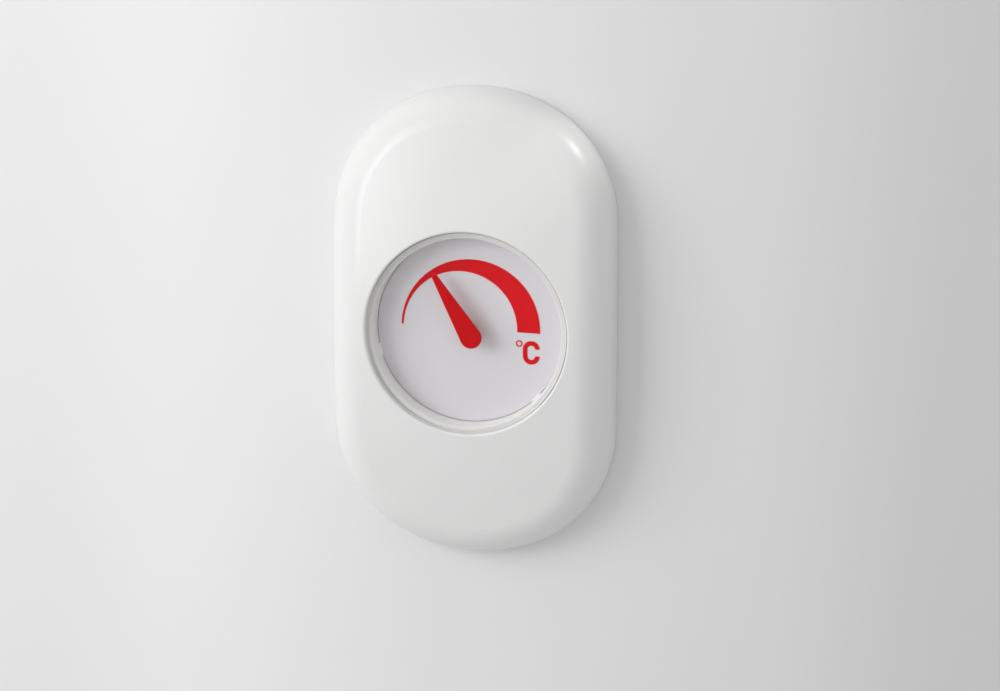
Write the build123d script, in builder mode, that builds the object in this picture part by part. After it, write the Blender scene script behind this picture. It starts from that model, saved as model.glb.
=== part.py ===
from build123d import *
import os
from math import acos, cos, degrees, hypot, radians, sin, sqrt

# Wall temperature gauge: a capsule cover round a dial whose pointer a bimetal coil turns.
# Millimetres. +Z is up, the dial faces -Y and the wall is the plane Y = 0.
# The origin lies on the wall, midway between the two wall-screw holes.
# A depth is a distance in front of the wall, towards -Y.

# Outline and shell of the cover, whose rounded edge fills the band between window and side
cover_height = 111.5
shoulder_offset = 3.0
crown_flattening = 7.0
dome_radius = 220.0
edge_rounding = 9.4
cover_wall = 2.0
window_drop = 0.3
window_gap = 0.6
window_edge_rounding = 0.5

# Stack of the gauge from the wall to the front of the cover
contact_thickness = 1.6
pillar_length = 3.4
bridge_thickness = 0.6
bridge_screw_head_height = 0.7
bridge_screw_head_clearance = 0.3
dial_thickness = 0.6
pointer_height = 3.4
pointer_thickness = 0.6
pointer_clearance = 0.8
crystal_thickness = 1.6
crystal_recess = 0.4

# Back plate and the catches that hold the cover on it
plate_thickness = 1.6
plate_clearance = 0.25
can_opening_clearance = 0.3
wall_screw_inset = 13.75
wall_screw_hole_radius = 2.25
wall_screw_head_radius = 4.2
wall_screw_boss_radius = 6.0
wall_screw_boss_height = 1.4
catch_spacing = 36.0
catch_width = 8.0
cover_rib_reach = 1.0
cover_rib_depth = 3.0
cover_rib_thickness = 1.2
tongue_thickness = 1.3
tongue_clearance = 0.2
barb_clearance = 0.1
barb_land = 0.3
barb_slope = 1.0

# Gauge can
can_radius = 23.3
can_wall = 1.0
ledge_width = 1.5
ledge_thickness = 1.0
flange_width = 4.2
flange_thickness = 1.2
dial_catch_angle = 75.0
dial_catch_width = 3.0
dial_catch_reach = 0.45
dial_catch_height = 0.6
dial_catch_clearance = 0.05
flange_screw_angle = 30.0
flange_screw_radius = 1.05
flange_screw_hole_radius = 1.3
flange_screw_bite = 1.2
flange_screw_head_radius = 1.8
flange_screw_head_height = 1.2
flange_screw_head_rounding = 0.4
screw_slot_width = 0.4
screw_slot_depth = 0.35

# Crystal and its seal
seal_thickness = 0.4
crystal_bevel = 0.45
crystal_gap = 0.15

# Dial and its print
dial_clearance = 0.15
dial_hole_radius = 1.1
print_thickness = 0.08
scale_margin = 5.65
scale_cold_width = 0.48
scale_hot_width = 5.45
scale_tilt = -1.7
letter_height = 5.6
letter_width = 4.0
letter_stroke = 1.1
letter_opening = 1.6
letter_inset = 2.09
letter_drop = 5.1
degree_radius = 0.8
degree_stroke = 0.3
degree_lead = 2.85
degree_rise = 2.1

# Pointer, at the reading that it rests on
pointer_rest_angle = 121.2
pointer_tip_inset = 1.05
pointer_tip_radius = 0.65
pointer_tail_radius = 2.55
pointer_tail_shift = 1.55
pointer_edge_rounding = 0.15
pointer_boss_radius = 1.5
pointer_boss_gap = 0.5

# Movement
spindle_radius = 0.6
running_clearance = 0.03
seat_clearance = 0.02
end_play = 0.05
can_floor_width = 3.3
contact_floor = 0.4
rear_bush_radius = 2.0
lever_collar_radius = 3.0
lever_collar_clearance = 0.06
rear_bush_flange_radius = 3.7
rear_bush_flange_thickness = 0.35
spindle_floor = 0.9
washer_outer_radius = 4.8
washer_inner_clearance = 0.15
washer_thickness = 0.15
lever_thickness = 0.5
lever_ring_radius = 5.2
lever_arm_width = 2.8
lever_tail_reach = 9.5
lever_notch_width = 0.8
lever_notch_length = 1.6
lever_pillar_gap = 0.9
anchor_pin_radius = 0.7
anchor_pin_gap = 0.05
coil_angle = -60.0
coil_turns = 6
coil_inner_radius = 3.0
strip_thickness = 0.4
strip_width = 1.6
collet_radius = 2.2
collet_lug_width = 1.0
collet_lug_gap = 0.1
front_bush_radius = 2.0
front_bush_flange_radius = 2.8
front_bush_flange_thickness = 0.2
front_bush_nose_radius = 1.5
front_bush_nose_length = 0.6
pillar_inset = 3.2
pillar_angle = 90.0
pillar_radius = 1.5
pillar_spigot_radius = 0.95
pillar_spigot_length = 1.0
bridge_centre_radius = 6.0
bridge_arm_width = 5.0
bridge_end_radius = 3.0
bridge_screw_radius = 0.75
bridge_screw_hole_radius = 0.9
bridge_screw_bite = 2.0
bridge_screw_end_gap = 0.2
bridge_screw_head_radius = 1.4
screw_count = 3

# Depths that the stack gives
bridge_depth = contact_thickness + pillar_length
bridge_front = bridge_depth + bridge_thickness
dial_back = bridge_front + bridge_screw_head_height + bridge_screw_head_clearance
dial_face = dial_back + dial_thickness
pointer_depth = dial_face + pointer_height
crystal_back = pointer_depth + pointer_thickness + pointer_clearance
crystal_front = crystal_back + crystal_thickness
window_depth = crystal_front + crystal_recess
can_front = crystal_back - seal_thickness
lever_back = contact_thickness + washer_thickness + end_play
lever_front = lever_back + lever_thickness
rear_bush_flange_back = lever_front + end_play
rear_bush_front = rear_bush_flange_back + rear_bush_flange_thickness
front_bush_back = bridge_depth - front_bush_flange_thickness
collet_back = rear_bush_front + end_play
collet_front = front_bush_back - end_play
strip_back = (collet_back + collet_front - strip_width) / 2

# Radii and outlines that the fits give
window_radius = can_radius + window_gap
crystal_radius = window_radius - crystal_gap
cover_depth = window_depth + dome_radius - sqrt(dome_radius**2 - window_radius**2)
cover_width = 2 * (window_radius + edge_rounding)
shoulder_radius = cover_width / 2 - shoulder_offset
crown_radius = shoulder_radius + crown_flattening
wall_screw_spacing = cover_height - 2 * wall_screw_inset
can_bore = can_radius - can_wall
ledge_bore = can_bore - ledge_width
flange_radius = can_radius + flange_width
flange_screw_circle = can_radius + flange_width / 2
flange_front = plate_thickness + flange_thickness
dial_radius = can_bore - dial_clearance
scale_outer_radius = dial_radius - scale_margin
scale_inner_radius = scale_outer_radius - (scale_hot_width + scale_cold_width) / 2
scale_inner_shift = (scale_hot_width - scale_cold_width) / 2
letter_x = scale_outer_radius - letter_inset
pointer_tip_reach = scale_outer_radius - pointer_tip_inset
contact_radius = can_bore - can_floor_width
pillar_circle_radius = contact_radius - pillar_inset
anchor_circle_radius = pillar_circle_radius - pillar_radius - lever_pillar_gap - lever_arm_width / 2
spindle_hole_radius = spindle_radius + running_clearance
spindle_seat_radius = spindle_radius + seat_clearance


def front_plane(depth):
    """A plane that faces the viewer, X to the right and Z up, centred on the cover."""
    return Plane(origin=(0, -depth, 0), x_dir=(1, 0, 0), z_dir=(0, -1, 0))


def gauge_plane(depth, turn=0.0):
    """The same, centred on the pointer's axis and turned anticlockwise about it."""
    turned_x = (cos(radians(turn)), 0, sin(radians(turn)))
    return Plane(origin=(0, -depth, -window_drop), x_dir=turned_x, z_dir=(0, -1, 0))


def section_plane(height):
    """A level plane that holds outlines of X against depth."""
    return Plane(origin=(0, 0, height), x_dir=(1, 0, 0), z_dir=(0, 0, -1))


gauge_axis = Axis((0, 0, -window_drop), (0, -1, 0))


def capsule(inset):
    """The cover's outline on the wall, drawn in by an inset: straight sides, shoulders and a crown."""
    half_width = cover_width / 2
    crown_z = cover_height / 2 - crown_radius
    shoulder_z = crown_z + sqrt(crown_flattening**2 - shoulder_offset**2)
    shoulder_arc = degrees(acos(shoulder_offset / crown_flattening))
    with BuildSketch(front_plane(0)) as face:
        with BuildLine():
            Line((half_width - inset, 0), (half_width - inset, shoulder_z))
            CenterArc((shoulder_offset, shoulder_z), shoulder_radius - inset, 0, shoulder_arc)
            CenterArc((0, crown_z), crown_radius - inset, shoulder_arc, 180 - 2 * shoulder_arc)
            CenterArc((-shoulder_offset, shoulder_z), shoulder_radius - inset, 180 - shoulder_arc, shoulder_arc)
            Line((inset - half_width, shoulder_z), (inset - half_width, 0))
            mirror(about=Plane.XZ)
        make_face()
    return face.sketch


def soft_block(inset):
    """A solid capsule on the wall with a domed front and a rounded front edge, drawn in by an inset."""
    with BuildPart() as block:
        extrude(capsule(inset), amount=cover_depth)
        with Locations((0, dome_radius - cover_depth, -window_drop)):
            Sphere(dome_radius - inset, mode=Mode.INTERSECT)
        fillet(block.faces().sort_by(Axis.Y)[0].edges(), radius=edge_rounding - inset)
    return block.part


def turned(*outline):
    """A closed outline of (radius, depth) points, ready to be turned about the pointer's axis."""
    with BuildSketch(section_plane(-window_drop)) as face:
        with BuildLine():
            Polyline(*outline, close=True)
        make_face()
    return face.sketch


def ring(depth, inner_radius, outer_radius):
    """A flat ring about the pointer's axis."""
    with BuildSketch(gauge_plane(depth)) as face:
        Circle(outer_radius)
        Circle(inner_radius, mode=Mode.SUBTRACT)
    return face.sketch


def spots(depth, circle_radius, start_angle, spot_radius):
    """Discs for a ring of screws or pillars."""
    with BuildSketch(gauge_plane(depth)) as face:
        with PolarLocations(circle_radius, screw_count, start_angle):
            Circle(spot_radius)
    return face.sketch


def slots(depth, circle_radius, start_angle, length):
    """Screwdriver slots across a ring of screw heads."""
    with BuildSketch(gauge_plane(depth)) as face:
        with PolarLocations(circle_radius, screw_count, start_angle):
            Rectangle(length, screw_slot_width)
    return face.sketch


# Back plate: a moulded capsule plate with two countersunk wall-screw holes and four snap tongues
with BuildPart() as back_plate:
    extrude(capsule(cover_wall + plate_clearance), amount=plate_thickness)
    with BuildSketch(gauge_plane(0)):
        Circle(can_radius + can_opening_clearance)
    extrude(amount=plate_thickness, mode=Mode.SUBTRACT)
    with BuildSketch(front_plane(plate_thickness)):
        with GridLocations(0, wall_screw_spacing, 1, 2):
            Circle(wall_screw_boss_radius)
    extrude(amount=wall_screw_boss_height)
    with Locations(front_plane(plate_thickness + wall_screw_boss_height)):
        with GridLocations(0, wall_screw_spacing, 1, 2):
            CounterSinkHole(wall_screw_hole_radius, wall_screw_head_radius)
    extrude(
        spots(plate_thickness, flange_screw_circle, flange_screw_angle, flange_screw_radius + seat_clearance),
        amount=-flange_screw_bite,
        mode=Mode.SUBTRACT,
    )
    tongue_outside = cover_width / 2 - cover_wall - cover_rib_reach - tongue_clearance
    barb_outside = cover_width / 2 - cover_wall - tongue_clearance
    barb_back = cover_rib_depth + cover_rib_thickness + barb_clearance
    barb_front = barb_back + barb_land + barb_slope
    for side in (-1, 1):
        for height in (-catch_spacing / 2, catch_spacing / 2):
            with BuildSketch(section_plane(height)):
                with BuildLine():
                    Polyline(
                        (side * (tongue_outside - tongue_thickness), 0),
                        (side * tongue_outside, 0),
                        (side * tongue_outside, barb_back),
                        (side * barb_outside, barb_back),
                        (side * barb_outside, barb_back + barb_land),
                        (side * tongue_outside, barb_front),
                        (side * (tongue_outside - tongue_thickness), barb_front),
                        close=True,
                    )
                make_face()
            extrude(amount=catch_width / 2, both=True)

# Gauge can: a moulded cup with a mounting flange, a ledge for the dial and three dial catches
with BuildPart() as gauge_can:
    revolve(
        turned(
            (contact_radius + seat_clearance, 0),
            (can_radius, 0),
            (can_radius, plate_thickness),
            (flange_radius, plate_thickness),
            (flange_radius, flange_front),
            (can_radius, flange_front),
            (can_radius, can_front),
            (can_bore, can_front),
            (can_bore, dial_back),
            (ledge_bore, dial_back),
            (ledge_bore, dial_back - ledge_thickness),
            (can_bore, dial_back - ledge_thickness),
            (can_bore, contact_thickness),
            (contact_radius + seat_clearance, contact_thickness),
        ),
        axis=gauge_axis,
    )
    with BuildSketch(gauge_plane(dial_face + dial_catch_clearance)):
        with PolarLocations(can_bore, screw_count, dial_catch_angle):
            Rectangle(2 * dial_catch_reach, dial_catch_width)
    extrude(amount=dial_catch_height)
    extrude(
        spots(plate_thickness, flange_screw_circle, flange_screw_angle, flange_screw_hole_radius),
        amount=flange_thickness,
        mode=Mode.SUBTRACT,
    )

# Flange screws: pan-head screws through the can's flange into the back plate
with BuildPart() as flange_screws:
    extrude(
        spots(flange_front, flange_screw_circle, flange_screw_angle, flange_screw_head_radius),
        amount=flange_screw_head_height,
    )
    fillet(flange_screws.faces().group_by(Axis.Y)[0].edges(), radius=flange_screw_head_rounding)
    extrude(
        spots(flange_front, flange_screw_circle, flange_screw_angle, flange_screw_radius),
        amount=-(flange_thickness + flange_screw_bite - seat_clearance),
    )
    extrude(
        slots(
            flange_front + flange_screw_head_height,
            flange_screw_circle,
            flange_screw_angle,
            2 * flange_screw_head_radius,
        ),
        amount=-screw_slot_depth,
        mode=Mode.SUBTRACT,
    )

# Contact plate: an aluminium disc flush with the wall, bored from the front for the bush and pillars
with BuildPart() as contact_plate:
    revolve(
        turned(
            (0, 0),
            (contact_radius, 0),
            (contact_radius, contact_thickness),
            (rear_bush_radius + seat_clearance, contact_thickness),
            (rear_bush_radius + seat_clearance, contact_floor),
            (0, contact_floor),
        ),
        axis=gauge_axis,
    )
    extrude(
        spots(contact_thickness, pillar_circle_radius, pillar_angle, pillar_spigot_radius + seat_clearance),
        amount=-(pillar_spigot_length + end_play),
        mode=Mode.SUBTRACT,
    )

# Rear bush: a turned brass bearing with a blind bore and the collar that the lever turns on
with BuildPart() as rear_bush:
    revolve(
        turned(
            (0, contact_floor),
            (rear_bush_radius, contact_floor),
            (rear_bush_radius, contact_thickness),
            (lever_collar_radius, contact_thickness),
            (lever_collar_radius, rear_bush_flange_back),
            (rear_bush_flange_radius, rear_bush_flange_back),
            (rear_bush_flange_radius, rear_bush_front),
            (spindle_hole_radius, rear_bush_front),
            (spindle_hole_radius, spindle_floor),
            (0, spindle_floor),
        ),
        axis=gauge_axis,
    )

# Friction washer: a spring-steel ring under the lever
with BuildPart() as friction_washer:
    extrude(
        ring(contact_thickness, lever_collar_radius + washer_inner_clearance, washer_outer_radius),
        amount=washer_thickness,
    )

# Calibration lever: a stamped ring with an arm for the anchor pin and a notched tail
with BuildPart() as calibration_lever:
    with BuildSketch(gauge_plane(lever_back, coil_angle)):
        Circle(lever_ring_radius)
        with Locations((anchor_circle_radius / 2, 0)):
            Rectangle(anchor_circle_radius, lever_arm_width)
        with Locations((anchor_circle_radius, 0)):
            Circle(lever_arm_width / 2)
        with Locations((-lever_tail_reach / 2, 0)):
            Rectangle(lever_tail_reach, lever_arm_width)
        with Locations((-lever_tail_reach, 0)):
            Rectangle(2 * lever_notch_length, lever_notch_width, mode=Mode.SUBTRACT)
        with Locations((anchor_circle_radius, 0)):
            Circle(anchor_pin_radius + seat_clearance, mode=Mode.SUBTRACT)
        Circle(lever_collar_radius + lever_collar_clearance, mode=Mode.SUBTRACT)
    extrude(amount=lever_thickness)

# Anchor pin: a brass pin riveted in the lever's arm
with BuildPart() as anchor_pin:
    with BuildSketch(gauge_plane(lever_back, coil_angle)):
        with Locations((anchor_circle_radius, 0)):
            Circle(anchor_pin_radius)
    extrude(amount=strip_back + strip_width - lever_back)

# Bimetal coil: a flat strip wound in half-turn arcs from the collet out to the anchor pin
coil_step = (anchor_circle_radius - coil_inner_radius) / (2 * coil_turns)
coil_last_radius = anchor_circle_radius - coil_step / 2
coil_end_trim = degrees((anchor_pin_radius + anchor_pin_gap) / coil_last_radius)
coil_arcs = []
for half_turn in range(2 * coil_turns):
    arc_centre = coil_step / 2 * (-1 if half_turn % 2 == 0 else 1)
    arc_radius = coil_inner_radius + (half_turn + 0.5) * coil_step
    arc_start = 180 * (half_turn % 2)
    arc_size = 180 - (coil_end_trim if half_turn == 2 * coil_turns - 1 else 0)
    coil_arcs.append((arc_centre, arc_radius, arc_start, arc_size))


def coil_point(arc, along, offset):
    """A point on one of the coil's arcs, a share of the way along it and offset from its middle line."""
    centre, radius, start, size = arc
    angle = radians(start + along * size)
    return (centre + (radius + offset) * cos(angle), (radius + offset) * sin(angle))


with BuildPart() as bimetal_coil:
    with BuildSketch(gauge_plane(strip_back, coil_angle)):
        with BuildLine():
            for centre, radius, start, size in coil_arcs:
                CenterArc((centre, 0), radius + strip_thickness / 2, start, size)
                CenterArc((centre, 0), radius - strip_thickness / 2, start, size)
            for arc, along in ((coil_arcs[0], 0), (coil_arcs[-1], 1)):
                Line(coil_point(arc, along, -strip_thickness / 2), coil_point(arc, along, strip_thickness / 2))
        make_face()
    extrude(amount=strip_width)

# Least gap between neighbouring turns, measured on points along the strip
points_per_arc = 13
shares = [step / (points_per_arc - 1) for step in range(points_per_arc)]
turn_gaps = [
    hypot(ax - bx, ay - by) - strip_thickness
    for inner, outer in zip(coil_arcs, coil_arcs[2:])
    for ax, ay in [coil_point(inner, share, 0) for share in shares]
    for bx, by in [coil_point(outer, share, 0) for share in shares]
]
print(f"least gap between the coil's turns: {min(turn_gaps):.2f} mm")

# Coil collet: a brass collar on the spindle, with a lug at the coil's inner end
with BuildPart() as coil_collet:
    lug_reach = coil_inner_radius + strip_thickness
    with BuildSketch(gauge_plane(collet_back, coil_angle)):
        Circle(collet_radius)
        with Locations((lug_reach / 2, -collet_lug_gap - collet_lug_width / 2)):
            Rectangle(lug_reach, collet_lug_width)
        Circle(spindle_seat_radius, mode=Mode.SUBTRACT)
    extrude(amount=collet_front - collet_back)

# Pillars: turned posts with a spigot in the contact plate and a tapped hole in front
with BuildPart() as pillars:
    extrude(spots(contact_thickness, pillar_circle_radius, pillar_angle, pillar_radius), amount=pillar_length)
    extrude(
        spots(contact_thickness, pillar_circle_radius, pillar_angle, pillar_spigot_radius),
        amount=-pillar_spigot_length,
    )
    extrude(
        spots(bridge_depth, pillar_circle_radius, pillar_angle, bridge_screw_radius + seat_clearance),
        amount=-(bridge_screw_bite + bridge_screw_end_gap),
        mode=Mode.SUBTRACT,
    )

# Bridge: a stamped three-armed plate that carries the front bearing
with BuildPart() as bridge:
    with BuildSketch(gauge_plane(bridge_depth)):
        Circle(bridge_centre_radius)
        with PolarLocations(pillar_circle_radius / 2, screw_count, pillar_angle):
            Rectangle(pillar_circle_radius, bridge_arm_width)
        with PolarLocations(pillar_circle_radius, screw_count, pillar_angle):
            Circle(bridge_end_radius)
            Circle(bridge_screw_hole_radius, mode=Mode.SUBTRACT)
        Circle(front_bush_radius + seat_clearance, mode=Mode.SUBTRACT)
    extrude(amount=bridge_thickness)

# Front bush: a turned brass bearing riveted in the bridge
with BuildPart() as front_bush:
    revolve(
        turned(
            (spindle_hole_radius, front_bush_back),
            (front_bush_flange_radius, front_bush_back),
            (front_bush_flange_radius, bridge_depth),
            (front_bush_radius, bridge_depth),
            (front_bush_radius, bridge_front),
            (front_bush_nose_radius, bridge_front),
            (front_bush_nose_radius, bridge_front + front_bush_nose_length),
            (spindle_hole_radius, bridge_front + front_bush_nose_length),
        ),
        axis=gauge_axis,
    )

# Bridge screws: slotted screws that hold the bridge on its pillars
with BuildPart() as bridge_screws:
    extrude(
        spots(bridge_front, pillar_circle_radius, pillar_angle, bridge_screw_head_radius),
        amount=bridge_screw_head_height,
    )
    extrude(
        spots(bridge_front, pillar_circle_radius, pillar_angle, bridge_screw_radius),
        amount=-(bridge_thickness + bridge_screw_bite),
    )
    extrude(
        slots(
            bridge_front + bridge_screw_head_height,
            pillar_circle_radius,
            pillar_angle,
            2 * bridge_screw_head_radius,
        ),
        amount=-screw_slot_depth,
        mode=Mode.SUBTRACT,
    )

# Spindle: a steel rod from the rear bush's floor up to the pointer's blade
with BuildPart() as spindle:
    with BuildSketch(gauge_plane(spindle_floor + end_play)):
        Circle(spindle_radius)
    extrude(amount=pointer_depth - spindle_floor - 2 * end_play)

# Dial plate: a pale painted disc on the can's ledge
with BuildPart() as dial_plate:
    extrude(ring(dial_back, dial_hole_radius, dial_radius), amount=dial_thickness)

# Scale band: the printed wedge, thin at the cold end and thick at the hot end
with BuildPart() as scale_band:
    with BuildSketch(gauge_plane(dial_face, scale_tilt)):
        Circle(scale_outer_radius)
        with Locations((-scale_inner_shift, 0)):
            Circle(scale_inner_radius, mode=Mode.SUBTRACT)
        Rectangle(
            2 * scale_outer_radius,
            scale_outer_radius,
            align=(Align.CENTER, Align.MIN),
            mode=Mode.INTERSECT,
        )
    extrude(amount=print_thickness)

# Unit mark: the printed degree ring and letter beneath the scale's hot end
with BuildPart() as unit_mark:
    with BuildSketch(gauge_plane(dial_face)):
        with Locations((letter_x, -letter_drop)):
            SlotOverall(letter_height, letter_width, rotation=90)
            SlotOverall(
                letter_height - 2 * letter_stroke,
                letter_width - 2 * letter_stroke,
                rotation=90,
                mode=Mode.SUBTRACT,
            )
        with Locations((letter_x + letter_width / 2, -letter_drop)):
            Rectangle(letter_width, letter_opening, mode=Mode.SUBTRACT)
        with Locations((letter_x - degree_lead, degree_rise - letter_drop)):
            Circle(degree_radius)
            Circle(degree_radius - degree_stroke, mode=Mode.SUBTRACT)
    extrude(amount=print_thickness)

# Pointer: a moulded drop-shaped blade with a boss that presses on the spindle
with BuildPart() as pointer:
    with BuildSketch(gauge_plane(pointer_depth, pointer_rest_angle)):
        with Locations((-pointer_tail_shift, 0)):
            Circle(pointer_tail_radius)
        with Locations((pointer_tip_reach - pointer_tip_radius, 0)):
            Circle(pointer_tip_radius)
        make_hull()
    extrude(amount=pointer_thickness)
    fillet(pointer.faces().sort_by(Axis.Y)[0].edges(), radius=pointer_edge_rounding)
    boss_back = dial_face + pointer_boss_gap
    extrude(
        ring(boss_back, spindle_seat_radius, pointer_boss_radius),
        amount=pointer_depth - boss_back,
    )

# Crystal seal: a pale silicone ring on the can's edge
with BuildPart() as crystal_seal:
    extrude(ring(can_front, can_bore, crystal_radius), amount=seal_thickness)

# Crystal: a clear moulded disc with a bevelled edge, bonded on the seal inside the cover's window
with BuildPart() as crystal:
    revolve(
        turned(
            (0, crystal_back),
            (crystal_radius, crystal_back),
            (crystal_radius, crystal_front - crystal_bevel),
            (crystal_radius - crystal_bevel, crystal_front),
            (0, crystal_front),
        ),
        axis=gauge_axis,
    )

# Front cover: a moulded, domed capsule shell with soft edges, a window and four ribs for the tongues
with BuildPart() as front_cover:
    add(soft_block(0))
    add(soft_block(cover_wall), mode=Mode.SUBTRACT)
    with BuildSketch(gauge_plane(cover_depth)):
        Circle(window_radius)
    extrude(amount=-cover_depth, mode=Mode.SUBTRACT)
    window_edge = front_cover.faces().sort_by(SortBy.AREA)[-1].inner_wires()[0].edges()
    fillet(window_edge, radius=window_edge_rounding)
    rib_inside = cover_width / 2 - cover_wall - cover_rib_reach
    rib_width = cover_rib_reach + cover_wall / 2
    with BuildSketch(front_plane(cover_rib_depth)):
        with GridLocations(2 * rib_inside + rib_width, catch_spacing, 2, 2):
            Rectangle(rib_width, catch_width)
    extrude(amount=cover_rib_thickness)

pieces = {
    "back_plate": back_plate,
    "gauge_can": gauge_can,
    "flange_screws": flange_screws,
    "contact_plate": contact_plate,
    "rear_bush": rear_bush,
    "friction_washer": friction_washer,
    "calibration_lever": calibration_lever,
    "anchor_pin": anchor_pin,
    "bimetal_coil": bimetal_coil,
    "coil_collet": coil_collet,
    "pillars": pillars,
    "bridge": bridge,
    "front_bush": front_bush,
    "bridge_screws": bridge_screws,
    "spindle": spindle,
    "dial_plate": dial_plate,
    "scale_band": scale_band,
    "unit_mark": unit_mark,
    "pointer": pointer,
    "crystal_seal": crystal_seal,
    "crystal": crystal,
    "front_cover": front_cover,
}

os.makedirs("parts", exist_ok=True)
for label, piece in pieces.items():
    piece.part.label = label
    export_step(piece.part, f"parts/{label}.step")
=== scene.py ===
from math import cos, radians, sin, tau

import bpy
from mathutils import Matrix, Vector
from mathutils.geometry import convex_hull_2d, tessellate_polygon


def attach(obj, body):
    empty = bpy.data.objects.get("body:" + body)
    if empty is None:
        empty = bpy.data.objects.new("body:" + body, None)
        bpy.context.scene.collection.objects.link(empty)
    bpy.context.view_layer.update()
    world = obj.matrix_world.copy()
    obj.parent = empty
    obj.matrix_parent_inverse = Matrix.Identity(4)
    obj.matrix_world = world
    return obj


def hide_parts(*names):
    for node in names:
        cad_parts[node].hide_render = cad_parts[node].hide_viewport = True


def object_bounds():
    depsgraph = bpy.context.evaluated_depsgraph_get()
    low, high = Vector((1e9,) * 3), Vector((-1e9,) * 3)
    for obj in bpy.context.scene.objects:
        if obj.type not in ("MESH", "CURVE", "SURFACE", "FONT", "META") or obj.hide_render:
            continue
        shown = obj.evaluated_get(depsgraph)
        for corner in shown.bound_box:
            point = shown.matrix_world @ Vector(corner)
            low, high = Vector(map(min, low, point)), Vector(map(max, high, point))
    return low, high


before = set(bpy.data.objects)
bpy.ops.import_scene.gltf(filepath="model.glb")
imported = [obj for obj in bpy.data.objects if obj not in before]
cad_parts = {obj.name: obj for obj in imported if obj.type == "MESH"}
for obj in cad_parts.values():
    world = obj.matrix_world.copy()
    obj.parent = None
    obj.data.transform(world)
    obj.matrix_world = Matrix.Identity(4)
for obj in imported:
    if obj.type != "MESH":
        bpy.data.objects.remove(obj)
cad_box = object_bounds()

# Back plate: the capsule that the two wall screws hold, moulded in white plastic.
# Its skin is satin, with the fine grain of a spark-eroded mould and a faint drift in tone.
MM = 0.001


def node_group(name, inputs, outputs):
    """A shader node group. Its inputs come as name: start value, and its outputs as name: socket kind."""
    group = bpy.data.node_groups.new(name, "ShaderNodeTree")
    for label, value in inputs.items():
        kind = "NodeSocketColor" if isinstance(value, tuple) else "NodeSocketFloat"
        socket = group.interface.new_socket(name=label, in_out="INPUT", socket_type=kind)
        socket.default_value = value
    for label, kind in outputs.items():
        group.interface.new_socket(name=label, in_out="OUTPUT", socket_type=kind)
    return group


def add(tree, kind, **settings):
    """A new node with its own settings."""
    node = tree.nodes.new(kind)
    for label, value in settings.items():
        setattr(node, label, value)
    return node


def feed(tree, target, source):
    """Sets a socket to a plain value, or links another socket to it."""
    if isinstance(source, bpy.types.NodeSocket):
        tree.links.new(source, target)
    else:
        target.default_value = source


def maths(tree, operation, first, second=0.0, third=0.0):
    """A math node's result."""
    node = add(tree, "ShaderNodeMath", operation=operation)
    for place, source in enumerate((first, second, third)):
        feed(tree, node.inputs[place], source)
    return node.outputs[0]


def mixed(tree, share, first, second, blend="MIX"):
    """Two colours mixed by a share."""
    node = add(tree, "ShaderNodeMix", data_type="RGBA", blend_type=blend)
    feed(tree, node.inputs["Factor"], share)
    feed(tree, node.inputs["A"], first)
    feed(tree, node.inputs["B"], second)
    return node.outputs["Result"]


def noise(tree, place, per_metre, detail=3.0):
    """Noise between 0 and 1 at a point, with a number of lumps to the metre."""
    node = add(tree, "ShaderNodeTexNoise")
    tree.links.new(place, node.inputs["Vector"])
    feed(tree, node.inputs["Scale"], per_metre)
    node.inputs["Detail"].default_value = detail
    return node.outputs["Fac"]


TONE_DRIFT_PER_METRE = 55.0
GLOSS_PATCHES_PER_METRE = 240.0


def moulded_skin():
    """Plastic as it leaves the mould: slow drift in tone, fine grain, and dull and bright patches."""
    tree = node_group(
        "Moulded Skin",
        {
            "Colour": (0.8, 0.8, 0.8, 1.0),
            "Tone Swing": 0.03,
            "Grain per Metre": 4000.0,
            "Roughness": 0.4,
            "Roughness Swing": 0.08,
        },
        {"Colour": "NodeSocketColor", "Roughness": "NodeSocketFloat", "Height": "NodeSocketFloat"},
    )
    entry = add(tree, "NodeGroupInput")
    leave = add(tree, "NodeGroupOutput")
    place = add(tree, "ShaderNodeTexCoord").outputs["Object"]
    drift = noise(tree, place, TONE_DRIFT_PER_METRE)
    patches = noise(tree, place, GLOSS_PATCHES_PER_METRE, detail=5.0)
    grain = noise(tree, place, entry.outputs["Grain per Metre"], detail=2.0)
    tone = maths(tree, "MULTIPLY_ADD", drift, entry.outputs["Tone Swing"], 1.0)
    tone = maths(tree, "MULTIPLY_ADD", entry.outputs["Tone Swing"], -0.5, tone)
    shade = add(tree, "ShaderNodeCombineColor")
    for channel in shade.inputs:
        tree.links.new(tone, channel)
    colour = mixed(tree, 1.0, entry.outputs["Colour"], shade.outputs["Color"], "MULTIPLY")
    swing = maths(tree, "SUBTRACT", patches, 0.5)
    rough = maths(tree, "MULTIPLY_ADD", swing, entry.outputs["Roughness Swing"], entry.outputs["Roughness"])
    tree.links.new(colour, leave.inputs["Colour"])
    tree.links.new(rough, leave.inputs["Roughness"])
    tree.links.new(grain, leave.inputs["Height"])
    return tree


DUST_SPECKS_PER_METRE = 900.0
DUST_CLOUDS_PER_METRE = 90.0


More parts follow.
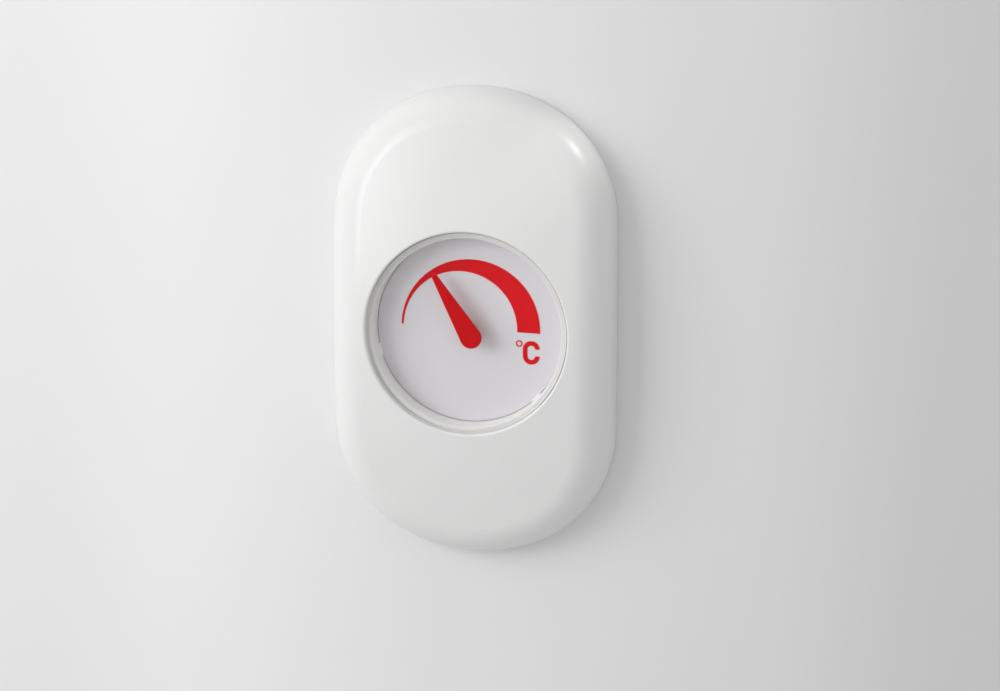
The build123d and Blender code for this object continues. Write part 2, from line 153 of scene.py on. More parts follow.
def settled_dust():
    """A share of dust: on faces that look up, broken up by noise."""
    tree = node_group("Settled Dust", {"Amount": 0.1}, {"Share": "NodeSocketFloat"})
    entry = add(tree, "NodeGroupInput")
    leave = add(tree, "NodeGroupOutput")
    facing = add(tree, "ShaderNodeSeparateXYZ")
    tree.links.new(add(tree, "ShaderNodeNewGeometry").outputs["Normal"], facing.inputs[0])
    upward = maths(tree, "MAXIMUM", facing.outputs["Z"], 0.0)
    place = add(tree, "ShaderNodeTexCoord").outputs["Object"]
    specks = noise(tree, place, DUST_SPECKS_PER_METRE, detail=6.0)
    broken = maths(tree, "MULTIPLY", specks, noise(tree, place, DUST_CLOUDS_PER_METRE))
    share = maths(tree, "MULTIPLY", maths(tree, "MULTIPLY", upward, broken), entry.outputs["Amount"])
    tree.links.new(share, leave.inputs["Share"])
    return tree


def material(name, **sockets):
    """A material with one Principled shader, whose plain values are set on its own sockets."""
    finish = bpy.data.materials.new(name)
    finish.use_nodes = True
    tree = finish.node_tree
    tree.nodes.clear()
    shader = add(tree, "ShaderNodeBsdfPrincipled")
    for label, value in sockets.items():
        shader.inputs[label.replace("_", " ")].default_value = value
    surface = add(tree, "ShaderNodeOutputMaterial")
    tree.links.new(shader.outputs["BSDF"], surface.inputs["Surface"])
    return finish, tree, shader


def placed(tree, group, **values):
    """A node group placed in a material, with its values."""
    node = add(tree, "ShaderNodeGroup", node_tree=group)
    for label, value in values.items():
        feed(tree, node.inputs[label.replace("_", " ")], value)
    return node


def bumped(tree, shader, height, distance):
    """Relief of a given height, in metres, on the shader's normal."""
    relief = add(tree, "ShaderNodeBump")
    relief.inputs["Distance"].default_value = distance
    tree.links.new(height, relief.inputs["Height"])
    tree.links.new(relief.outputs["Normal"], shader.inputs["Normal"])


def dress(finish, *nodes):
    """Puts a material on CAD nodes whose shape stays as it is."""
    for node in nodes:
        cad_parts[node].material_slots[0].material = finish


SKIN = moulded_skin()
DUST = settled_dust()
DUST_COLOUR = (0.50, 0.47, 0.42, 1.0)


def plastic(name, colour, tone, grain, rough, swing, relief, dust, **sockets):
    """Moulded plastic with its skin and a little dust."""
    finish, tree, shader = material(name, **sockets)
    skin = placed(
        tree,
        SKIN,
        Colour=colour,
        Tone_Swing=tone,
        Grain_per_Metre=grain,
        Roughness=rough,
        Roughness_Swing=swing,
    )
    share = placed(tree, DUST, Amount=dust).outputs["Share"]
    tree.links.new(mixed(tree, share, skin.outputs["Colour"], DUST_COLOUR), shader.inputs["Base Color"])
    dulled = maths(tree, "ADD", skin.outputs["Roughness"], share)
    tree.links.new(dulled, shader.inputs["Roughness"])
    bumped(tree, shader, skin.outputs["Height"], relief)
    return finish


satin_white = plastic(
    "satin white plastic",
    colour=(0.78, 0.78, 0.77, 1.0),
    tone=0.05,
    grain=5200.0,
    rough=0.48,
    swing=0.10,
    relief=0.012 * MM,
    dust=0.3,
    IOR=1.49,
)
dress(satin_white, "back_plate")

# Gauge can: the white cup behind the window, with a flange that three screws hold to the plate.
# It is moulded in a smoother white than the plate, since its wall shows round the dial.
can_white = plastic(
    "can white plastic",
    colour=(0.87, 0.87, 0.86, 1.0),
    tone=0.03,
    grain=4200.0,
    rough=0.36,
    swing=0.08,
    relief=0.006 * MM,
    dust=0.1,
    IOR=1.49,
)
dress(can_white, "gauge_can")

# Flange screws: three slotted pan-head screws with a rolled thread, in bright zinc plate.
# They pass through the can's flange and bite into the back plate from the front.
GAUGE_DROP = 0.3 * MM
FLANGE_SCREWS = {
    "Head Radius": 1.8 * MM,
    "Head Height": 1.2 * MM,
    "Head Rounding": 0.4 * MM,
    "Shank Radius": 1.05 * MM,
    "Shank Length": 2.68 * MM,
    "Thread Pitch": 0.5 * MM,
    "Thread Depth": 0.16 * MM,
    "Slot Width": 0.4 * MM,
    "Slot Depth": 0.35 * MM,
    "Circle Radius": 25.4 * MM,
    "Start Angle": radians(30),
    "Front": 2.8 * MM,
    "Drop": GAUGE_DROP,
}
SCREW_COUNT = 3
HEAD_STEPS = 40
HEAD_LAYERS = 12
SHANK_STEPS = 32
SHANK_LAYERS = 48
END_RINGS = 4
SKIN_FROM = 0.99
HEAD_OVERLAP = 0.25
BAR_RADII = 3.0
TINY = 1e-9
TURN_LIMIT = 3.0
TURN_SEED = 7
SCREW_CREASE = radians(35)


def rolled_lines():
    """Fine lines along one direction, as rolling or plating leaves on sheet metal."""
    tree = node_group(
        "Rolled Lines",
        {"Lines per Metre": 3000.0, "Stretch": 0.04, "Turn": 0.0},
        {"Mask": "NodeSocketFloat"},
    )
    entry = add(tree, "NodeGroupInput")
    leave = add(tree, "NodeGroupOutput")
    place = add(tree, "ShaderNodeTexCoord").outputs["Object"]
    turned = add(tree, "ShaderNodeVectorRotate", rotation_type="Y_AXIS")
    tree.links.new(place, turned.inputs["Vector"])
    tree.links.new(entry.outputs["Turn"], turned.inputs["Angle"])
    parts = add(tree, "ShaderNodeSeparateXYZ")
    tree.links.new(turned.outputs[0], parts.inputs[0])
    along = maths(tree, "MULTIPLY", parts.outputs["X"], entry.outputs["Stretch"])
    joined = add(tree, "ShaderNodeCombineXYZ")
    tree.links.new(along, joined.inputs["X"])
    tree.links.new(parts.outputs["Y"], joined.inputs["Y"])
    tree.links.new(parts.outputs["Z"], joined.inputs["Z"])
    lines = noise(tree, joined.outputs[0], entry.outputs["Lines per Metre"], detail=4.0)
    tree.links.new(lines, leave.inputs["Mask"])
    return tree


LINES = rolled_lines()
LINE_DULLING = 0.22


def sheet_metal(name, bright, dull, rough, lines, stretch, turn, relief):
    """Rolled or plated metal: two tones and two degrees of polish along fine lines."""
    finish, tree, shader = material(name, Metallic=1.0)
    mask = placed(tree, LINES, Lines_per_Metre=lines, Stretch=stretch, Turn=turn).outputs["Mask"]
    tree.links.new(mixed(tree, mask, bright, dull), shader.inputs["Base Color"])
    tree.links.new(maths(tree, "MULTIPLY_ADD", mask, LINE_DULLING, rough), shader.inputs["Roughness"])
    bumped(tree, shader, mask, relief)
    return finish


def screw_ring():
    """A ring of slotted screws: head with a rounded edge, threaded shank and slot, set round a circle."""
    tree = bpy.data.node_groups.new("Screw Ring", "GeometryNodeTree")
    tree.interface.new_socket(name="Geometry", in_out="OUTPUT", socket_type="NodeSocketGeometry")
    for label in FLANGE_SCREWS:
        tree.interface.new_socket(name=label, in_out="INPUT", socket_type="NodeSocketFloat")
    tree.interface.new_socket(name="Finish", in_out="INPUT", socket_type="NodeSocketMaterial")
    entry = add(tree, "NodeGroupInput")
    leave = add(tree, "NodeGroupOutput")
    size = entry.outputs

    def calc(operation, first, second=0.0):
        return maths(tree, operation, first, second)

    def vector(x=0.0, y=0.0, z=0.0):
        node = add(tree, "ShaderNodeCombineXYZ")
        for place, source in enumerate((x, y, z)):
            feed(tree, node.inputs[place], source)
        return node.outputs[0]

    def changed(kind, mesh, **inputs):
        node = add(tree, kind)
        tree.links.new(mesh, node.inputs[0])
        for label, source in inputs.items():
            feed(tree, node.inputs[label], source)
        return node.outputs[0]

    def rod(radius, length, around, along):
        node = add(tree, "GeometryNodeMeshCylinder")
        node.inputs["Vertices"].default_value = around
        node.inputs["Side Segments"].default_value = along
        node.inputs["Fill Segments"].default_value = END_RINGS
        feed(tree, node.inputs["Radius"], radius)
        feed(tree, node.inputs["Depth"], length)
        return node.outputs["Mesh"]

    spot = add(tree, "ShaderNodeSeparateXYZ")
    tree.links.new(add(tree, "GeometryNodeInputPosition").outputs[0], spot.inputs[0])
    x, y, z = spot.outputs
    reach = calc("SQRT", calc("ADD", calc("MULTIPLY", x, x), calc("MULTIPLY", y, y)))
    angle = calc("ARCTAN2", y, x)

    # Head: the corner of a short rod is pulled in to an arc of the rounding's radius
    half_height = calc("MULTIPLY", size["Head Height"], 0.5)
    inner_reach = calc("SUBTRACT", size["Head Radius"], size["Head Rounding"])
    inner_height = calc("SUBTRACT", half_height, size["Head Rounding"])
    out = calc("MAXIMUM", calc("SUBTRACT", reach, inner_reach), 0.0)
    rise = calc("MAXIMUM", calc("SUBTRACT", z, inner_height), 0.0)
    span = calc("SQRT", calc("ADD", calc("MULTIPLY", out, out), calc("MULTIPLY", rise, rise)))
    pull = calc("MINIMUM", calc("DIVIDE", size["Head Rounding"], calc("MAXIMUM", span, TINY)), 1.0)
    slack = calc("SUBTRACT", 1.0, pull)
    new_reach = calc("SUBTRACT", reach, calc("MULTIPLY", out, slack))
    new_z = calc("SUBTRACT", z, calc("MULTIPLY", rise, slack))
    scale = calc("DIVIDE", new_reach, calc("MAXIMUM", reach, TINY))
    head = rod(size["Head Radius"], size["Head Height"], HEAD_STEPS, HEAD_LAYERS)
    rounded = vector(calc("MULTIPLY", x, scale), calc("MULTIPLY", y, scale), new_z)
    head = changed("GeometryNodeSetPosition", head, Position=rounded)
    head = changed("GeometryNodeTransform", head, Translation=vector(z=half_height))

    # Shank: a rod whose skin sinks in a helix, one thread to each pitch
    turns = calc("ADD", calc("DIVIDE", angle, tau), calc("DIVIDE", z, size["Thread Pitch"]))
    wave = calc("ABSOLUTE", calc("SUBTRACT", calc("MULTIPLY", calc("FRACT", turns), 2.0), 1.0))
    sink = calc("MULTIPLY", wave, size["Thread Depth"])
    share = calc("DIVIDE", calc("SUBTRACT", reach, sink), calc("MAXIMUM", reach, TINY))
    on_skin = calc("GREATER_THAN", reach, calc("MULTIPLY", size["Shank Radius"], SKIN_FROM))
    factor = calc("ADD", calc("MULTIPLY", on_skin, calc("SUBTRACT", share, 1.0)), 1.0)
    shank = rod(size["Shank Radius"], size["Shank Length"], SHANK_STEPS, SHANK_LAYERS)
    threaded = vector(calc("MULTIPLY", x, factor), calc("MULTIPLY", y, factor), z)
    shank = changed("GeometryNodeSetPosition", shank, Position=threaded)
    overlap = calc("MULTIPLY", size["Head Height"], HEAD_OVERLAP)
    depth = calc("ADD", calc("MULTIPLY", size["Shank Length"], -0.5), overlap)
    shank = changed("GeometryNodeTransform", shank, Translation=vector(z=depth))

    # Slot: a bar across the head takes its groove out of the joined head and shank
    whole = add(tree, "GeometryNodeMeshBoolean", operation="UNION", solver="EXACT")
    tree.links.new(head, whole.inputs["Mesh 2"])
    tree.links.new(shank, whole.inputs["Mesh 2"])
    bar = add(tree, "GeometryNodeMeshCube")
    bar_length = calc("MULTIPLY", size["Head Radius"], BAR_RADII)
    bar_height = calc("MULTIPLY", size["Slot Depth"], 2.0)
    tree.links.new(vector(bar_length, size["Slot Width"], bar_height), bar.inputs["Size"])
    groove = changed("GeometryNodeTransform", bar.outputs["Mesh"], Translation=vector(z=size["Head Height"]))
    cut = add(tree, "GeometryNodeMeshBoolean", operation="DIFFERENCE", solver="EXACT")
    tree.links.new(whole.outputs["Mesh"], cut.inputs["Mesh 1"])
    tree.links.new(groove, cut.inputs["Mesh 2"])

    # Ring: one screw at each point of a circle, each turned as far as the driver left it
    ring = add(tree, "GeometryNodeMeshCircle")
    ring.inputs["Vertices"].default_value = SCREW_COUNT
    feed(tree, ring.inputs["Radius"], size["Circle Radius"])
    spin = add(tree, "FunctionNodeRandomValue", data_type="FLOAT")
    spin.inputs[2].default_value = 0.0
    spin.inputs[3].default_value = TURN_LIMIT
    spin.inputs["Seed"].default_value = TURN_SEED
    screws = changed(
        "GeometryNodeInstanceOnPoints",
        ring.outputs["Mesh"],
        Instance=cut.outputs["Mesh"],
        Rotation=vector(z=spin.outputs[1]),
    )
    screws = changed("GeometryNodeTransform", screws, Rotation=vector(z=size["Start Angle"]))
    seat = vector(y=calc("MULTIPLY", size["Front"], -1.0), z=calc("MULTIPLY", size["Drop"], -1.0))
    screws = changed("GeometryNodeTransform", screws, Rotation=(radians(90), 0.0, 0.0), Translation=seat)
    screws = changed("GeometryNodeRealizeInstances", screws)
    screws = changed("GeometryNodeSetMaterial", screws, Material=size["Finish"])
    tree.links.new(screws, leave.inputs["Geometry"])
    return tree


SCREW_RING = screw_ring()


def grown(name, tree, values, finish):
    """A plain mesh object from a geometry tree with its inputs set."""
    seed = bpy.data.objects.new(name + ".seed", bpy.data.meshes.new(name + ".seed"))
    bpy.context.scene.collection.objects.link(seed)
    modifier = seed.modifiers.new("grow", "NODES")
    sockets = {item.name: item.identifier for item in tree.interface.items_tree if item.in_out == "INPUT"}
    modifier.node_group = tree
    for label, value in values.items():
        modifier[sockets[label]] = value
    modifier[sockets["Finish"]] = finish
    mesh = bpy.data.meshes.new_from_object(seed.evaluated_get(bpy.context.evaluated_depsgraph_get()))
    bpy.data.objects.remove(seed)
    piece = bpy.data.objects.new(name, mesh)
    bpy.context.scene.collection.objects.link(piece)
    mesh.shade_smooth()
    mesh.set_sharp_from_angle(angle=SCREW_CREASE)
    return piece


zinc = sheet_metal(
    "bright zinc plate",
    bright=(0.66, 0.67, 0.69, 1.0),
    dull=(0.54, 0.55, 0.56, 1.0),
    rough=0.22,
    lines=2600.0,
    stretch=0.3,
    turn=0.4,
    relief=0.004 * MM,
)
flange_screws = grown("flange_screws_threaded", SCREW_RING, FLANGE_SCREWS, zinc)
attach(flange_screws, "case")
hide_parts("flange_screws")

# Contact plate: the aluminium disc in the can's floor that lies on the wall and brings the heat in.
# It is faced on a lathe, so fine rings run round the pointer's axis.
AXIAL_STRETCH = 0.5


def lathe_rings():
    """Rings round the pointer's axis, uneven in depth and spacing, as a lathe tool leaves them."""
    tree = node_group("Lathe Rings", {"Rings per Metre": 5000.0}, {"Mask": "NodeSocketFloat"})
    entry = add(tree, "NodeGroupInput")
    leave = add(tree, "NodeGroupOutput")
    parts = add(tree, "ShaderNodeSeparateXYZ")
    tree.links.new(add(tree, "ShaderNodeTexCoord").outputs["Object"], parts.inputs[0])
    height = maths(tree, "ADD", parts.outputs["Z"], GAUGE_DROP)
    level = maths(tree, "MULTIPLY", parts.outputs["X"], parts.outputs["X"])
    reach = maths(tree, "SQRT", maths(tree, "MULTIPLY_ADD", height, height, level))
    place = add(tree, "ShaderNodeCombineXYZ")
    tree.links.new(reach, place.inputs["X"])
    tree.links.new(maths(tree, "MULTIPLY", parts.outputs["Y"], AXIAL_STRETCH), place.inputs["Y"])
    rings = noise(tree, place.outputs[0], entry.outputs["Rings per Metre"], detail=4.0)
    tree.links.new(rings, leave.inputs["Mask"])
    return tree


RINGS = lathe_rings()
RING_DULLING = 0.2


def turned_metal(name, bright, dull, rough, rings, relief):
    """Metal off the lathe: two tones and two degrees of polish in rings."""
    finish, tree, shader = material(name, Metallic=1.0)
    mask = placed(tree, RINGS, Rings_per_Metre=rings).outputs["Mask"]
    tree.links.new(mixed(tree, mask, bright, dull), shader.inputs["Base Color"])
    tree.links.new(maths(tree, "MULTIPLY_ADD", mask, RING_DULLING, rough), shader.inputs["Roughness"])
    bumped(tree, shader, mask, relief)
    return finish


aluminium = turned_metal(
    "faced aluminium",
    bright=(0.80, 0.81, 0.82, 1.0),
    dull=(0.62, 0.63, 0.64, 1.0),
    rough=0.24,
    rings=3600.0,
    relief=0.006 * MM,
)
dress(aluminium, "contact_plate")

# Rear bush: the brass bearing pressed into the contact plate, with the collar that the lever turns on.
# Turned from rod, with the same fine rings as the plate.
brass = turned_metal(
    "turned brass",
    bright=(0.80, 0.62, 0.30, 1.0),
    dull=(0.62, 0.45, 0.19, 1.0),
    rough=0.20,
    rings=6000.0,
    relief=0.004 * MM,
)
dress(brass, "rear_bush")

# Friction washer and calibration lever: spring steel under a stamped lever that sets the coil's outer end.
# Both are cut from rolled strip and zinc plated, so fine lines run along the sheet.
stamped = sheet_metal(
    "stamped steel",
    bright=(0.62, 0.63, 0.64, 1.0),
    dull=(0.44, 0.44, 0.45, 1.0),
    rough=0.26,
    lines=4200.0,
    stretch=0.03,
    turn=0.9,
    relief=0.004 * MM,
)
dress(stamped, "friction_washer", "calibration_lever")

# Anchor pin: the brass pin riveted in the lever's arm, at which the coil ends.
# Cut from drawn wire, the same metal as the bush.
dress(brass, "anchor_pin")

# Bimetal coil: two metals rolled into one strip and wound on edge, whose twist turns the pointer.
# The strip is bare, with rolling lines and straw-coloured tarnish from its heat treatment.
bimetal = sheet_metal(
    "rolled bimetal",
    bright=(0.66, 0.60, 0.52, 1.0),
    dull=(0.46, 0.36, 0.27, 1.0),
    rough=0.28,
    lines=2200.0,
    stretch=0.12,
    turn=0.0,
    relief=0.004 * MM,
)
dress(bimetal, "bimetal_coil")

# Coil collet: the brass collar that carries the coil's inner end on the spindle.
# Turned, with a lug milled on its side.
dress(brass, "coil_collet")

# Pillars, bridge and front bush: three brass posts carry a stamped steel bridge with the front bearing.
# The posts' spigots sit in the contact plate and the bush is riveted in the bridge.
dress(brass, "pillars", "front_bush")
dress(stamped, "bridge")

# Bridge screws: three small cheese-head screws with a rolled thread, which hold the bridge on its posts.
# The same zinc plate as the flange screws, with a slot across the head.
BRIDGE_SCREWS = {
    "Head Radius": 1.4 * MM,
    "Head Height": 0.7 * MM,
    "Head Rounding": 0.12 * MM,
    "Shank Radius": 0.75 * MM,
    "Shank Length": 2.75 * MM,
    "Thread Pitch": 0.35 * MM,
    "Thread Depth": 0.11 * MM,
    "Slot Width": 0.4 * MM,
    "Slot Depth": 0.35 * MM,
    "Circle Radius": 15.8 * MM,
    "Start Angle": radians(90),
    "Front": 5.6 * MM,
    "Drop": GAUGE_DROP,
}
bridge_screws = grown("bridge_screws_threaded", SCREW_RING, BRIDGE_SCREWS, zinc)
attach(bridge_screws, "case")
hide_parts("bridge_screws")

# Spindle: the steel rod that carries the collet and the pointer, ground bright to run in both bushes.
# Its grinding lines run round it.
ground_steel = turned_metal(
    "ground steel",
    bright=(0.68, 0.69, 0.70, 1.0),
    dull=(0.55, 0.55, 0.56, 1.0),
    rough=0.14,
    rings=9000.0,
    relief=0.002 * MM,
)
dress(ground_steel, "spindle")

# Dial plate: a thin aluminium disc on the can's ledge, painted a pale, faintly violet grey.
# The paint is matte, with the fine peel and the stray specks of a sprayed coat.
dial_paint, tree, shader = material("dial paint", IOR=1.45)
skin = placed(
    tree,
    SKIN,
    Colour=(0.70, 0.68, 0.705, 1.0),
    Tone_Swing=0.05,
    Grain_per_Metre=2600.0,
    Roughness=0.55,
    Roughness_Swing=0.10,
)
tree.links.new(skin.outputs["Colour"], shader.inputs["Base Color"])
tree.links.new(skin.outputs["Roughness"], shader.inputs["Roughness"])
bumped(tree, shader, skin.outputs["Height"], 0.008 * MM)
dress(dial_paint, "dial_plate")

# Scale band and unit mark: the red wedge that widens towards hot, and the degree sign and letter under it.
# Both are pad printed, so the ink is a little thinner here and there.
RED = (0.70, 0.004, 0.009, 1.0)
red_ink, tree, shader = material("red ink", IOR=1.45, Specular_IOR_Level=0.12)
skin = placed(
    tree,
    SKIN,
    Colour=RED,
    Tone_Swing=0.16,
    Grain_per_Metre=5200.0,
    Roughness=0.42,
    Roughness_Swing=0.12,
)
tree.links.new(skin.outputs["Colour"], shader.inputs["Base Color"])
tree.links.new(skin.outputs["Roughness"], shader.inputs["Roughness"])
bumped(tree, shader, skin.outputs["Height"], 0.004 * MM)
dress(red_ink, "scale_band", "unit_mark")

# Pointer: the drop-shaped blade, moulded in red plastic with the boss that presses on the spindle.
# It is smooth and half gloss, and shades the dial beneath it.
POINTER_RED = (0.58, 0.002, 0.004, 1.0)
red_plastic = plastic(
    "red plastic",
    colour=POINTER_RED,
    tone=0.08,
    grain=3000.0,
    rough=0.34,
    swing=0.08,
    relief=0.004 * MM,
    dust=0.05,
    IOR=1.49,
    Specular_IOR_Level=0.06,
)
dress(red_plastic, "pointer")

# Crystal seal: a ring of pale silicone between the can's edge and the crystal.
# Its front is a rounded bead that the crystal is bonded on, and it catches the light in the window's edge.
SEAL_INNER = 22.3 * MM
SEAL_OUTER = 23.75 * MM
SEAL_BACK = 11.6 * MM
SEAL_FRONT = 12.0 * MM
BEAD_RISE = 0.34 * MM
BEAD_STEPS = 14
SEAL_STEPS = 180
SEAL_CREASE = radians(50)


def bead_ring(name, finish):
    """A ring about the pointer's axis whose section is a half-oval bead on a low foot."""
    middle = (SEAL_INNER + SEAL_OUTER) / 2
    half_width = (SEAL_OUTER - SEAL_INNER) / 2
    outline = [(SEAL_OUTER, SEAL_BACK), (SEAL_INNER, SEAL_BACK)]
    for step in range(BEAD_STEPS + 1):
        turn = radians(180 * step / BEAD_STEPS)
        outline.append((middle - half_width * cos(turn), SEAL_FRONT - BEAD_RISE * (1 - sin(turn))))
    points = []
    for step in range(SEAL_STEPS):
        turn = tau * step / SEAL_STEPS
        points += [(reach * cos(turn), -depth, reach * sin(turn) - GAUGE_DROP) for reach, depth in outline]
    count = len(outline)
    faces = []
    for step in range(SEAL_STEPS):
        here = step * count
        there = (step + 1) % SEAL_STEPS * count
        for corner in range(count):
            after = (corner + 1) % count
            faces.append((here + corner, here + after, there + after, there + corner))
    mesh = bpy.data.meshes.new(name)
    mesh.from_pydata(points, [], faces)
    mesh.materials.append(finish)
    mesh.shade_smooth()
    mesh.set_sharp_from_angle(angle=SEAL_CREASE)
    piece = bpy.data.objects.new(name, mesh)
    bpy.context.scene.collection.objects.link(piece)
    return piece


silicone = plastic(
    "pale silicone",
    colour=(0.73, 0.73, 0.72, 1.0),
    tone=0.04,
    grain=2400.0,
    rough=0.34,
    swing=0.10,
    relief=0.004 * MM,
    dust=0.0,
    IOR=1.41,
)
seal = bead_ring("crystal_seal_bead", silicone)
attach(seal, "case")
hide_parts("crystal_seal")

# Crystal: the clear moulded window with a bevelled edge, bonded on the seal inside the cover's opening.
# It is polished, with a trace of haze, and light passes it without a dark shadow.
FAINT_GLARE = (0.1, 0.1, 0.1, 1.0)
crystal, tree, shader = material(
    "clear crystal",
    IOR=1.49,
    Transmission_Weight=1.0,
    Specular_Tint=FAINT_GLARE,
)
haze = placed(
    tree,
    SKIN,
    Colour=(0.985, 0.99, 0.99, 1.0),
    Tone_Swing=0.01,
    Grain_per_Metre=900.0,
    Roughness=0.02,
    Roughness_Swing=0.02,
)
tree.links.new(haze.outputs["Colour"], shader.inputs["Base Color"])
tree.links.new(haze.outputs["Roughness"], shader.inputs["Roughness"])
clear = add(tree, "ShaderNodeBsdfTransparent")
path = add(tree, "ShaderNodeLightPath")
choice = add(tree, "ShaderNodeMixShader")
passing = maths(tree, "MAXIMUM", path.outputs["Is Shadow Ray"], path.outputs["Is Diffuse Ray"])
tree.links.new(passing, choice.inputs[0])
tree.links.new(shader.outputs["BSDF"], choice.inputs[1])
tree.links.new(clear.outputs["BSDF"], choice.inputs[2])
tree.links.new(choice.outputs[0], tree.nodes["Material Output"].inputs["Surface"])
dress(crystal, "crystal")

# Front cover: the domed white capsule that snaps over the back plate, with the round window in it.
# It is moulded in gloss plastic off a polished mould, with a slight peel and a trace of dust on top.
gloss_white = plastic(
    "gloss white plastic",
    colour=(0.80, 0.80, 0.795, 1.0),
    tone=0.02,
    grain=420.0,
    rough=0.30,
    swing=0.04,
    relief=0.01 * MM,
    dust=0.08,
    IOR=1.5,
)
dress(gloss_white, "front_cover")

# Wall and floor: one pale painted sheet that runs down behind the part and forward under it, with painted
# light and shade on the wall: a lighter band left of the part and paint that darkens towards the right.
# It is open behind the part, and from behind it isn't seen, so that the back can be lit and looked at.
WALL_GAP = 0.05 * MM
OPENING_INSET = 0.5 * MM
SHEET_REACH = 1.6
FLOOR_DROP = 0.7
COVE_RADIUS = 0.3
COVE_STEPS = 16
PAINTED_LIGHT_REACH = 0.12
# Painted light and shade: wall tones across the sheet, lightest in a band left of the part and darker
# towards the right.
WALL_PAINTED_LIGHT_TONES = {0.02: 0.81, 0.20: 0.87, 0.50: 0.81, 0.75: 0.76, 0.98: 0.67}
high = cad_box[1]
foot = -FLOOR_DROP + COVE_RADIUS
corners = [
    Vector((-SHEET_REACH, WALL_GAP, foot)),
    Vector((SHEET_REACH, WALL_GAP, foot)),
    Vector((SHEET_REACH, WALL_GAP, SHEET_REACH)),
    Vector((-SHEET_REACH, WALL_GAP, SHEET_REACH)),
]
seat = [spot.co.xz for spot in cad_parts["front_cover"].data.vertices if spot.co.y > -WALL_GAP]
outline = [seat[corner] for corner in convex_hull_2d(seat)]
shrink_x = 1 - OPENING_INSET / high.x
shrink_z = 1 - OPENING_INSET / high.z
rim = [Vector((spot.x * shrink_x, WALL_GAP, spot.y * shrink_z)) for spot in outline]
points = corners + rim
faces = []
for a, b, c in tessellate_polygon([corners, rim]):
    to_front = (points[b] - points[a]).cross(points[c] - points[a]).y < 0
    faces.append((a, b, c) if to_front else (a, c, b))
wall_count = len(faces)
left, right = 0, 1
for step in range(1, COVE_STEPS + 2):
    turn = radians(90 * min(step / COVE_STEPS, 1))
    depth = WALL_GAP - COVE_RADIUS * (1 - cos(turn)) if step <= COVE_STEPS else -SHEET_REACH
    level = -FLOOR_DROP + COVE_RADIUS * (1 - sin(turn))
    below = len(points)
    points += [Vector((-SHEET_REACH, depth, level)), Vector((SHEET_REACH, depth, level))]
    faces.append((left, below, below + 1, right))
    left, right = below, below + 1
sheet = bpy.data.meshes.new("wall and floor")
sheet.from_pydata(points, [], faces)
for face in sheet.polygons[wall_count:]:
    face.use_smooth = True
wall = bpy.data.objects.new("wall_and_floor", sheet)
bpy.context.scene.collection.objects.link(wall)
wall_paint_and_painted_light, tree, shader = material("wall paint with painted light", IOR=1.45, Specular_IOR_Level=0.2)
across = add(tree, "ShaderNodeSeparateXYZ")
tree.links.new(add(tree, "ShaderNodeTexCoord").outputs["Object"], across.inputs[0])
# Painted light and shade: the wall's colour rises to a light band left of the part, then darkens to the
# right, in place of a sheen and the light's fall-off.
span = add(tree, "ShaderNodeMapRange")
tree.links.new(across.outputs["X"], span.inputs["Value"])
span.inputs["From Min"].default_value = -PAINTED_LIGHT_REACH
span.inputs["From Max"].default_value = PAINTED_LIGHT_REACH
painted_light_ramp = add(tree, "ShaderNodeValToRGB")
tree.links.new(span.outputs["Result"], painted_light_ramp.inputs["Fac"])
painted_light_ramp.color_ramp.interpolation = "EASE"
for share, tone in WALL_PAINTED_LIGHT_TONES.items():
    stop = painted_light_ramp.color_ramp.elements.new(share)
    stop.color = (tone, tone, tone, 1.0)
painted_light_ramp.color_ramp.elements.remove(painted_light_ramp.color_ramp.elements[0])
painted_light_ramp.color_ramp.elements.remove(painted_light_ramp.color_ramp.elements[-1])
skin = placed(
    tree,
    SKIN,
    Colour=painted_light_ramp.outputs["Color"],
    Tone_Swing=0.01,
    Grain_per_Metre=500.0,
    Roughness=0.55,
    Roughness_Swing=0.05,
)
tree.links.new(skin.outputs["Colour"], shader.inputs["Base Color"])
tree.links.new(skin.outputs["Roughness"], shader.inputs["Roughness"])
clear = add(tree, "ShaderNodeBsdfTransparent")
choice = add(tree, "ShaderNodeMixShader")
tree.links.new(add(tree, "ShaderNodeNewGeometry").outputs["Backfacing"], choice.inputs[0])
tree.links.new(shader.outputs["BSDF"], choice.inputs[1])
tree.links.new(clear.outputs["BSDF"], choice.inputs[2])
tree.links.new(choice.outputs[0], tree.nodes["Material Output"].inputs["Surface"])
sheet.materials.append(wall_paint_and_painted_light)

# Light: a large soft lamp from the left, weak ones from the top and from behind, and an even sky.
# A strip lamp puts the bright crescent on the cover's left edge, and a narrow spot the glint on its right.


def hang(name, light, place, aim):
    """Puts a lamp at one point, turns it to another and gives back its stand."""
    stand = bpy.data.objects.new(name, light)
    stand.location = place
    stand.rotation_euler = (Vector(aim) - Vector(place)).to_track_quat("-Z", "Y").to_euler()
    stand.visible_camera = False
    bpy.context.scene.collection.objects.link(stand)
    return stand


def lamp(name, place, aim, width, height, power):
    """A soft lamp that shines from one point at another."""
    light = bpy.data.lights.new(name, "AREA")
    light.shape = "RECTANGLE"
    light.size = width
    light.size_y = height
    light.energy = power
    return hang(name, light, place, aim)


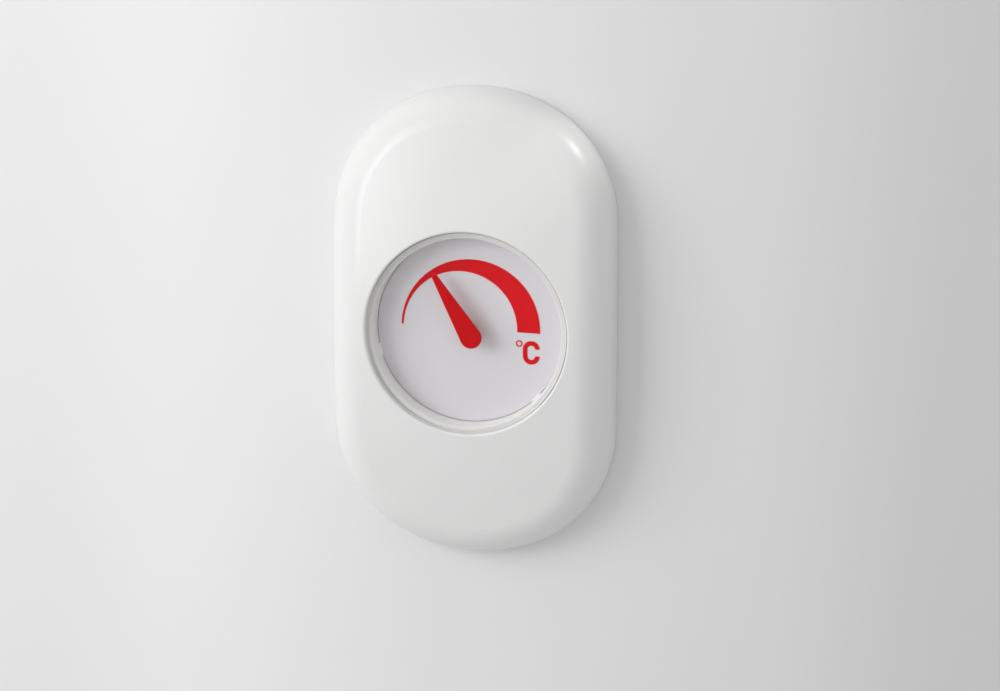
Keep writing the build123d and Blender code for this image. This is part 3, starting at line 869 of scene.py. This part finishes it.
key = lamp("key lamp", place=(-0.50, -0.40, 0.20), aim=(0.0, 0.0, 0.0), width=0.43, height=0.37, power=2.2)
key.visible_glossy = False
strip = lamp(
    "strip lamp",
    place=(-0.318, -0.495, 0.130),
    aim=(-0.025, -0.012, 0.03),
    width=0.13,
    height=0.36,
    power=1.0,
)
strip.visible_diffuse = False
lamp("top lamp", place=(0.08, -0.14, 0.55), aim=(0.0, 0.0, 0.04), width=0.40, height=0.10, power=0.12)
lamp("back lamp", place=(0.20, 0.90, 0.30), aim=(0.0, 0.0, 0.0), width=0.60, height=0.60, power=3.0)
EDGE_PLACE = (0.610, -0.048, 0.585)
EDGE_AIM = (0.0245, -0.008, 0.045)
EDGE_POWER = 6.0
EDGE_CONE = radians(1.8)
EDGE_SOFTNESS = 1.0
EDGE_RADIUS = 5.0 * MM
edge = bpy.data.lights.new("edge lamp", "SPOT")
edge.energy = EDGE_POWER
edge.spot_size = EDGE_CONE
edge.spot_blend = EDGE_SOFTNESS
edge.shadow_soft_size = EDGE_RADIUS
hang("edge lamp", edge, EDGE_PLACE, EDGE_AIM)
sky = bpy.data.worlds.new("even sky")
sky.use_nodes = True
tree = sky.node_tree
tree.nodes.clear()
SKY_LEVEL = 0.83
SKY_SEEN = 0.90
path = add(tree, "ShaderNodeLightPath")
seen = maths(tree, "MAXIMUM", path.outputs["Is Camera Ray"], path.outputs["Is Transmission Ray"])
seen = maths(tree, "MAXIMUM", seen, path.outputs["Is Glossy Ray"])
level = maths(tree, "MULTIPLY_ADD", seen, SKY_SEEN - SKY_LEVEL, SKY_LEVEL)
glow = add(tree, "ShaderNodeBackground")
tree.links.new(level, glow.inputs["Strength"])
shown = add(tree, "ShaderNodeOutputWorld")
tree.links.new(glow.outputs[0], shown.inputs["Surface"])
bpy.context.scene.world = sky

# Camera: a long lens, a little to the right of the part and above it.
# It aims beside the part and below its middle, which puts the part where the photograph has it.
AZIMUTH = radians(11.75)
ELEVATION = radians(13.5)
DISTANCE = 0.80
FRAME_WIDTH = 0.235
AIM_RIGHT = 5.25 * MM
AIM_UP = -6.0 * MM
back = Vector((sin(AZIMUTH) * cos(ELEVATION), -cos(AZIMUTH) * cos(ELEVATION), sin(ELEVATION)))
sideways = Vector((cos(AZIMUTH), sin(AZIMUTH), 0.0))
upward = back.cross(sideways)
lens = bpy.data.cameras.new("camera")
lens.sensor_width = 36.0
lens.lens = lens.sensor_width * DISTANCE / FRAME_WIDTH
camera = bpy.data.objects.new("camera", lens)
camera.location = AIM_RIGHT * sideways + AIM_UP * upward + DISTANCE * back
camera.rotation_euler = (-back).to_track_quat("-Z", "Y").to_euler()
bpy.context.scene.collection.objects.link(camera)
bpy.context.scene.camera = camera
bpy.context.scene.view_settings.view_transform = "Standard"
